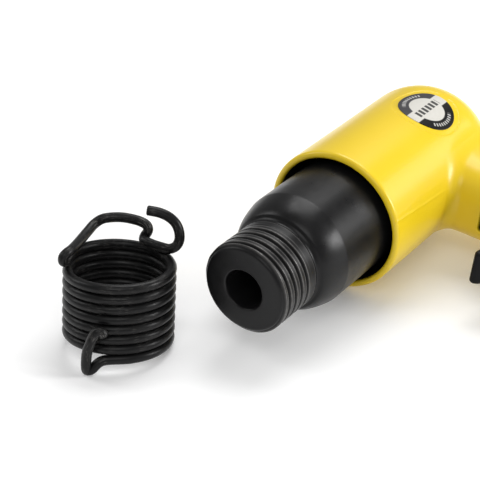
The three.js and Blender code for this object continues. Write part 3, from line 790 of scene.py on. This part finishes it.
def barrel_inside():
    """(radius, along) of the barrel's bores, from the rear to the nose face."""
    outside_ends = [(*NOSE_CORNER[0], 0.0), (*REAR_CORNER[-1], 0.0)]
    piston_bore = [(PISTON_BORE, BARREL_REAR), (PISTON_BORE, PISTON_BORE_START)]
    tool_bore = [(TOOL_BORE, TOOL_BORE_END), (TOOL_BORE, TOOL_BORE_START), BORE_LIP, (BORE_MOUTH, 0.0)]
    face = [(9.5, 0.0), (12.0, 0.0)]
    bores = rounded(outside_ends + piston_bore + tool_bore, BORE_ROUND)[len(outside_ends) :]
    return np.concatenate([bores, face])


def from_groove(y, angle):
    """Distance along the barrel from the middle of the groove, which winds right-handed round +Y."""
    turns = (y - FIRST_GROOVE) / PITCH - angle / TURN
    return np.abs(turns - np.round(turns)) * PITCH


def thread_depth(y, angle):
    """How far the thread's groove goes in. It runs out before the collar."""
    shape = 1 - smoothstep(GROOVE_FLOOR, CREST_EDGE, from_groove(y, angle))
    return (CREST - ROOT) * shape * (1 - smoothstep(RUN_OUT_START, RUN_OUT_END, y))


def edge_wear(y, angle):
    """1 on the edges of the thread's crests and of the collar, where the blackening rubs off first."""
    threaded = smoothstep(*WEAR_START, y) * (1 - smoothstep(*WEAR_END, y))
    crest = bell(from_groove(y, angle) - CREST_EDGE, WEAR_WIDTH) * threaded
    first = bell(y - FIRST_CREST - 0.1, WEAR_WIDTH)
    collar = bell(y - COLLAR_END + 0.15, COLLAR_WEAR)
    return np.maximum(crest, np.maximum(collar, first))


def barrel():
    outside = barrel_outside()
    outline = np.concatenate([outside, barrel_inside()])

    def place(radius, along, angle):
        threaded = np.minimum(radius, CREST - thread_depth(along, angle))
        out = np.where(along < COLLAR_END, threaded, radius)
        return to_row(np.stack([out * np.sin(angle), along, out * np.cos(angle)], axis=-1), LEVEL_AXES)

    made = turned("barrel_steel", outline, BARREL_COLUMNS, place)
    worn = edge_wear(outline[:, 1:], circle(BARREL_COLUMNS)[None])
    worn[len(outside) :] = 0
    give_values(made, "worn", worn.ravel())
    return made


finish_piece(barrel(), "tool", ["barrel"], black_oxide("barrel_black_oxide", NOSE))

# ---------- retaining spring ----------
WIRE_RADIUS, WIRE_SIDES, WIRE_STEP, WIRE_END_ROUND = 1.72, 20, 0.42, 0.45
COIL_RADIUS, COIL_PITCH, COIL_TURNS, COIL_KNOTS = 17.15, 3.54, 7.767, 14  # the knots are those of one turn
COIL_END, COIL_TOP = math.radians(214.0), 3.6  # angle and height where the coil meets the tall hook
SPRING_LEAN = (-0.042, 0.1475, 1.0)
BEND_START, BEND_RANGE, BEND_BLUR = 1.15, 2.5, 9  # the coil's own sharpness is about 1
EAR = [
    (9.1, -18.6, -14.1), (8.5, -19.1, -12.8), (7.5, -19.9, -12.1), (6.5, -20.9, -13.8),
    (5.7, -21.6, -16.6), (4.6, -21.8, -19.9), (4, -21.5, -23.2), (3.5, -20.9, -25.7),
    (3.1, -19.8, -27.9), (4.6, -19.2, -27.1), (5.5, -18.1, -25.6), (6.6, -16.7, -24.4),
]
TALL_HOOK = [
    (-15.3, -7.8, 3.5), (-14, -10.3, 3.6), (-13.2, -12.2, 3.7), (-12.8, -13.6, 4.4),
    (-12.7, -13.7, 5.9), (-12.3, -12.2, 7.1), (-12.5, -10.1, 7.3), (-15.1, -2.7, 7.5),
    (-17, 3.6, 8.4), (-17.7, 8.6, 9.9), (-16, 10.3, 11.4), (-13.6, 12.6, 11.9),
    (-10.8, 14.4, 12.1), (-7.8, 15.8, 11.9), (-4.5, 16.7, 11.5), (-2.2, 17.1, 10.6), (-1.6, 17, 9),
    (-2.6, 16.6, 7.1), (-1.7, 14.8, 6.3), (0.5, 14.4, 6), (3.1, 14.6, 5.7), (6.3, 14.9, 5.6),
    (8.9, 15.3, 5.7), (10.5, 16.6, 6.7), (11.1, 17.5, 8.7), (10.6, 17.9, 11.7), (9.3, 17.6, 14.3),
    (7.3, 16.7, 16.2), (4.7, 15.2, 17.5), (2.4, 13.7, 18), (0.8, 12.7, 18.2),
]


def spring_knots():
    steps = round(COIL_TURNS * COIL_KNOTS)
    knots = list(EAR)
    for i in range(1, steps):
        left = COIL_TURNS * (1 - i / steps)
        angle = COIL_END - TURN * left
        height = COIL_TOP - COIL_PITCH * left
        knots.append((COIL_RADIUS * math.cos(angle), COIL_RADIUS * math.sin(angle), height))
    return knots + TALL_HOOK


def bend_wear(route):
    """0 along the coil, 1 where the wire is bent far more sharply."""
    turn = np.gradient(np.gradient(route, axis=0) / WIRE_STEP, axis=0) / WIRE_STEP
    sharpness = norm(turn, axis=1) * COIL_RADIUS
    bend = np.clip((sharpness - BEND_START) / BEND_RANGE, 0, 1)
    return np.convolve(bend, np.ones(BEND_BLUR) / BEND_BLUR, mode="same")


def retaining_spring():
    route = smooth_route(spring_knots(), WIRE_STEP)
    for _ in range(3):  # a former bends the wire in smooth arcs
        route[1:-1] = (route[:-2] + 2 * route[1:-1] + route[2:]) / 4
    lean = Vector((0, 0, 1)).rotation_difference(Vector(SPRING_LEAN).normalized()).to_matrix()
    route = route @ np.array(lean).T
    points, quads, triangles, uv = swept(route, WIRE_RADIUS, WIRE_SIDES, WIRE_END_ROUND)
    low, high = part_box("retainer_spring")
    centre = (np.array(low) + np.array(high)) / 2
    middle = (points.min(axis=0) + points.max(axis=0)) / 2
    shift = centre - middle * MM
    shift[2] = low.z - points[:, 2].min() * MM
    made = add_mesh("retaining_spring_wire", points * MM + shift, quads, triangles)
    give_uv(made, uv)
    bend = bend_wear(route)
    give_values(made, "bend", np.concatenate([np.repeat(bend, WIRE_SIDES), bend[:1], bend[-1:]]))
    return made


spring = retaining_spring()
finish_piece(spring, "retainer_spring", ["retainer_spring"], spring_steel())

# ---------- trigger ----------
TRIGGER_OUTLINE = [
    (41.4, 101.0), (42.3, 97.2), (45.0, 93.5), (49.5, 88.0), (53.2, 81.5), (53.4, 75.8), (50.8, 68.6),
    (50.0, 65.6), (50.4, 64.2), (51.9, 63.7), (53.7, 64.8), (56.6, 69.6), (60.4, 73.9), (65.4, 77.0),
    (71.0, 78.5), (77.5, 78.2), (83.0, 76.4), (85.4, 76.6), (86.3, 78.6), (85.2, 82.4), (79.0, 92.5),
    (74.0, 98.6), (68.0, 101.0), (54.0, 102.0), (50.6, 103.2), (46.0, 104.4), (43.0, 103.4),
]
TRIGGER_HALF, PAD_HALF, PAD_END, PAD_SLOPE, TRIGGER_ROUND = 5.2, 6.3, 89.0, 2.5, 1.1
TRIGGER_STEP = 1.1  # between the points of its smoothed outline
TRIGGER_GRID = ((40.4, 62.6, -7.2), (87.4, 105.4, 7.2), 0.42)


def trigger():
    closed = [(x, y, 0) for x, y in (*TRIGGER_OUTLINE, TRIGGER_OUTLINE[0])]
    outline = smooth_route(closed, TRIGGER_STEP)[:-1, :2]

    def field(x, y, z):
        half = PAD_HALF - (PAD_HALF - TRIGGER_HALF) * smoothstep(PAD_END - PAD_SLOPE, PAD_END, y)
        made = meet_round(outline_field(x, y, outline), np.abs(z) - half, TRIGGER_ROUND)
        return np.maximum(made, -pin_hole_field(x, y, z))

    return carved("trigger_lever", field, TRIGGER_GRID)


finish_piece(trigger(), "trigger", ["trigger"], moulded_black())

# ---------- label ----------
LABEL_ROWS, LABEL_COLUMNS = 44, 128
LABEL_SKIN, LABEL_BED, LABEL_UNDER = 0.16, BODY_RADIUS - 0.12, BODY_RADIUS - 0.30
LABEL_EDGE = 0.05  # how far in from its rim the label's face starts to bend down


def side_label():
    flat = LABEL_RADIUS - LABEL_EDGE
    rings = [(flat * share, LABEL_BED + LABEL_SKIN) for share in np.linspace(0, 1, LABEL_ROWS)[1:]]
    rings += [(LABEL_RADIUS, LABEL_BED + LABEL_SKIN * 0.6), (LABEL_RADIUS, LABEL_UNDER)]
    angle = circle(LABEL_COLUMNS)
    points, uv = [], []
    for reach, height in rings:
        around = LABEL_LEAN - reach * np.sin(angle) / BODY_RADIUS
        along = LABEL_Y + reach * np.cos(angle)
        points.append(np.stack([height * np.sin(around), along, height * np.cos(around)], axis=1))
        uv.append(np.stack([np.cos(angle), np.sin(angle)], axis=1) * min(reach / LABEL_RADIUS, 1))
    top = (LABEL_BED + LABEL_SKIN) * np.array([math.sin(LABEL_LEAN), 0, math.cos(LABEL_LEAN)])
    points = np.concatenate([*points, [top + (0, LABEL_Y, 0)]])
    uv = np.concatenate([*uv, [[0, 0]]])
    quads = ring_quads(len(rings), LABEL_COLUMNS)
    middle = fan(len(rings) * LABEL_COLUMNS, 0, LABEL_COLUMNS)
    made = add_mesh("side_label_film", to_row(points), quads, middle)
    give_uv(made, uv)
    return made


finish_piece(side_label(), "tool", ["side_label"], label_film())

# ---------- air inlet ----------
HEX_HALF, HEX_BACK, INLET_FACE, HEX_ROUND = 9.5, 109.6, 118.0, 0.3
FACE_CHAMFER, BACK_CHAMFER = 9.9, 10.3  # radii where the cones that cut the hexagon's corners begin
HEX_COS, HEX_SIN = 0.5, math.sqrt(0.75)  # of 60 degrees
SPIGOT_RADIUS, SPIGOT_START, SPIGOT_END = 6.6, 97.0, 111.0
FITTING_RADIUS, FITTING_START, FITTING_PITCH, FITTING_GROOVE = 5.8, 104.0, 1.41, 0.42
AIR_RADIUS, COUNTERSINK = 4.2, 6.7
INLET_GRID = ((96.4, 107.4, -11.6), (118.8, 130.6, 11.6), 0.36)
WASHER_INNER, WASHER_OUTER, WASHER_START, WASHER_END = 6.95, 9.2, 108.3, 109.3


def inlet_field(x, y, z):
    across, up = np.abs(y - INLET_Y), np.abs(z)
    radial = np.hypot(y - INLET_Y, z)
    flats = np.maximum(across, across * HEX_COS + up * HEX_SIN) - HEX_HALF
    head = meet_round(flats, np.maximum(x - INLET_FACE, HEX_BACK - x), HEX_ROUND)
    head = np.maximum(head, (radial - FACE_CHAMFER) * HEX_COS + (x - INLET_FACE) * HEX_SIN)
    head = np.maximum(head, (radial - BACK_CHAMFER) * HEX_COS + (HEX_BACK - x) * HEX_SIN)
    spigot = np.maximum(radial - SPIGOT_RADIUS, np.maximum(x - SPIGOT_END, SPIGOT_START - x))
    turn = np.arctan2(z, y - INLET_Y) / TURN
    phase = (x - FITTING_START) / FITTING_PITCH - turn
    groove = 1 - smoothstep(0.12, 0.85, np.abs(phase - np.round(phase)) * 2)
    depth = FITTING_GROOVE * groove * smoothstep(FITTING_START + 0.5, FITTING_START + 1.6, x)
    socket = np.maximum(radial - (FITTING_RADIUS + depth), FITTING_START - x)
    made = np.maximum(np.minimum(head, spigot), -np.minimum(socket, radial - AIR_RADIUS))
    return np.maximum(made, -((radial - COUNTERSINK) * 0.7 + (INLET_FACE - x) * 0.7))


inlet = carved("inlet_bushing_hex", inlet_field, INLET_GRID)
FITTING_STEEL = black_oxide("fitting_black_oxide", wear=0.45)
finish_piece(inlet, "tool", ["inlet_bushing"], FITTING_STEEL)


def inlet_washer():
    outer = [(WASHER_OUTER, WASHER_START), (WASHER_OUTER, WASHER_END)]
    inner = [(WASHER_INNER, WASHER_END), (WASHER_INNER, WASHER_START)]

    def place(radius, along, angle):
        return to_row(np.stack([along, INLET_Y + radius * np.cos(angle), radius * np.sin(angle)], axis=-1))

    return turned("inlet_washer_ring", rounded(outer + inner, 0.3), 72, place)


RUBBER = rubber()
finish_piece(inlet_washer(), "tool", ["inlet_washer"], RUBBER)

# ---------- regulator ----------
KNOB_RADIUS, KNOB_HEIGHT, KNOB_ROUND = 6.4, 3.4, 0.55
KNOB_TOP = to_tool(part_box("regulator_screw")[1])[1]
KNOB_FACE = KNOB_TOP - KNOB_HEIGHT
FLUTES, FLUTE_DEPTH = 26, 0.22
SCREW_RADIUS, SCREW_TIP, RING_RADIUS, RING_BACK = 3.9, 120.5, 2.6, 5.0
DRIVE_WIDTH, DRIVE_DEPTH = 1.2, 1.2  # the screwdriver slot
DIMPLE_OUT, DIMPLE_LIFT, DIMPLE_RADIUS = 4.1, 0.25, 0.75
KNOB_LOW = (REGULATOR_X - 7.2, SCREW_TIP - 0.9, -7.2)
KNOB_GRID = (KNOB_LOW, (REGULATOR_X + 7.2, KNOB_TOP + 0.7, 7.2), 0.3)


def regulator_field(x, y, z):
    radial = np.hypot(x - REGULATOR_X, z)
    angle = np.arctan2(z, x - REGULATOR_X)
    up = y - KNOB_FACE
    flute = FLUTE_DEPTH * (0.5 + 0.5 * np.cos(angle * FLUTES)) * smoothstep(0.4, 0.9, up)
    flute = flute * (1 - smoothstep(2.3, 2.8, up))
    knob = meet_round(radial - KNOB_RADIUS + flute, np.maximum(y - KNOB_TOP, KNOB_FACE - y), KNOB_ROUND)
    screw = np.maximum(radial - SCREW_RADIUS, np.maximum(SCREW_TIP - y, up - 1))
    screw = np.maximum(screw, (radial - RING_RADIUS) * 0.7 + (SCREW_TIP - y) * 0.7)
    groove = np.maximum(RING_RADIUS - radial, np.abs(up + RING_BACK) - 1)
    made = np.minimum(knob, np.maximum(screw, -groove))
    slot = np.maximum(np.abs(x - REGULATOR_X) - DRIVE_WIDTH / 2, KNOB_TOP - DRIVE_DEPTH - y)
    out = np.hypot(x - REGULATOR_X - DIMPLE_OUT, z)
    dimple = np.hypot(out, y - KNOB_TOP - DIMPLE_LIFT) - DIMPLE_RADIUS
    return cut_round(np.maximum(made, -dimple), slot, 0.15)


regulator = carved("regulator_knob", regulator_field, KNOB_GRID)
KNOB_STEEL = black_oxide("knob_black_oxide", wear=0.5)
finish_piece(regulator, "regulator", ["regulator_screw"], KNOB_STEEL)

# ---------- trigger pin ----------
PIN_END = [(2.0, 13.5), (1.2, 14.0), (0.001, 13.9, 0.0)]  # corners of the pin's left half


def trigger_pin():
    other_end = [(corner[0], -corner[1], *corner[2:]) for corner in reversed(PIN_END)]

    def place(radius, along, angle):
        x, y = PIVOT_X + radius * np.cos(angle), PIVOT_Y + radius * np.sin(angle)
        return to_row(np.stack([x, y, along], axis=-1))

    return turned("trigger_pivot_pin", rounded(other_end + PIN_END, 0.3), 48, place)


PIN_STEEL = black_oxide("pin_black_oxide", wear=0.6)
finish_piece(trigger_pin(), "tool", ["trigger_pin"], PIN_STEEL)

# ---------- what is inside keeps its CAD shape ----------
GROUND = machined("ground_steel", (0.50, 0.50, 0.51), (0.66, 0.67, 0.68), NOSE)
WOUND = machined("wound_steel", (0.42, 0.42, 0.43), (0.58, 0.58, 0.60))
BRASS = machined("turned_brass", (0.55, 0.38, 0.12), (0.68, 0.49, 0.20))
INSIDE = [
    (GROUND, ["piston", "valve_seat_plate", "valve_disc", "valve_block"]),
    (WOUND, ["valve_dowel", "lock_plunger", "lock_spring", "throttle_stem"]),
    (BRASS, ["throttle_bushing", "inlet_screen"]),
    (RUBBER, ["valve_gasket", "throttle_seal", "stem_o_ring", "regulator_o_ring"]),
]
for material, nodes in INSIDE:
    for node in nodes:
        frame["nodes"][node].data.materials.clear()
        frame["nodes"][node].data.materials.append(material)


# ---------- throttle spring ----------
def throttle_spring():
    """The spring behind the throttle stem. The real spring shortens as the stem moves back; this mesh keeps
    one length.
    """
    wire, turns, radius = 0.4, 6.5, 3.2
    low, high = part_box("throttle_spring")
    start, end = to_tool((0, low.y, 0))[1] + wire, to_tool((0, high.y, 0))[1] - wire
    t = np.linspace(0, 1, 200)
    angle = t * turns * TURN
    across, up = THROTTLE_X + radius * np.cos(angle), radius * np.sin(angle)
    route = np.stack([across, start + (end - start) * t, up], axis=1)
    points, quads, triangles, _ = swept(route, wire, 10, 0.12)
    made = add_mesh("throttle_return_spring", to_row(points), quads, triangles)
    finish_piece(made, "tool", ["throttle_spring"], WOUND)
    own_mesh(made)


throttle_spring()

# ---------- stage ----------
FLOOR_REACH, FLOOR_GAP = 3.0, 0.0001
VIEW = Vector((-0.4927, 0.7067, -0.5077)).normalized()
CAMERA_FROM_NOSE = Vector((0.237081, -0.341805, 0.264000))
LENS, SENSOR = 114.0, 36.0
MIDDLE = Vector((0.0, 0.0, 0.03))
LIGHTS = [  # name, place, width, height and power
    ("overhead", (-0.20, 0.62, 1.15), 0.85, 0.7, 9),
    ("left_box", (-1.0, -0.35, 0.75), 0.35, 0.7, 3),
    ("main_box", (0.50, -0.90, 1.25), 0.9, 0.9, 5.5),
    ("right_strip", (0.95, 0.45, 0.40), 0.3, 0.4, 7),
    ("back_box", (0.85, 1.0, 0.46), 0.8, 0.5, 3.2),
]
WORLD_STRENGTH = 0.36


def floor():
    corners = [(-1, -1), (1, -1), (1, 1), (-1, 1)]
    mesh = bpy.data.meshes.new("floor")
    mesh.from_pydata([(x * FLOOR_REACH, y * FLOOR_REACH, 0) for x, y in corners], [], [(0, 1, 2, 3)])
    made = new_object("floor", mesh)
    made.location.z = -FLOOR_GAP
    finish = Finish("pale_floor")
    finish.set(Base_Color=finish.mix(finish.noise(6, 3), (0.90, 0.90, 0.90), (0.93, 0.93, 0.93)))
    finish.set(Roughness=finish.spread(finish.noise(40, 3), 0.75, 0.9), Specular_IOR_Level=0.1)
    finish.set(Emission_Color=(1, 1, 1, 1), Emission_Strength=0.14)
    mesh.materials.append(finish.material)


def soft_light(name, place, width, height, power):
    data = bpy.data.lights.new(name, "AREA")
    data.shape, data.size, data.size_y, data.energy = "RECTANGLE", width, height, power
    made = new_object(name, data)
    made.location = place
    made.rotation_euler = (MIDDLE - Vector(place)).to_track_quat("-Z", "Y").to_euler()


def camera():
    right = VIEW.cross(Vector((0, 0, 1))).normalized()
    up = right.cross(VIEW)
    data = bpy.data.cameras.new("camera")
    data.lens, data.sensor_width = LENS, SENSOR
    data.clip_start, data.clip_end = 0.01, 20
    made = new_object("camera", data)
    turn = Matrix((right, up, -VIEW)).transposed().to_4x4()
    made.matrix_world = Matrix.Translation(Vector(NOSE) + CAMERA_FROM_NOSE) @ turn
    bpy.context.scene.camera = made


def studio():
    world = bpy.data.worlds.new("studio")
    bpy.context.scene.world = world
    world.use_nodes = True
    background = world.node_tree.nodes["Background"]
    background.inputs["Color"].default_value = (1, 1, 1, 1)
    background.inputs["Strength"].default_value = WORLD_STRENGTH
    bpy.context.scene.view_settings.view_transform = "Standard"


floor()
camera()
for light in LIGHTS:
    soft_light(*light)
studio()
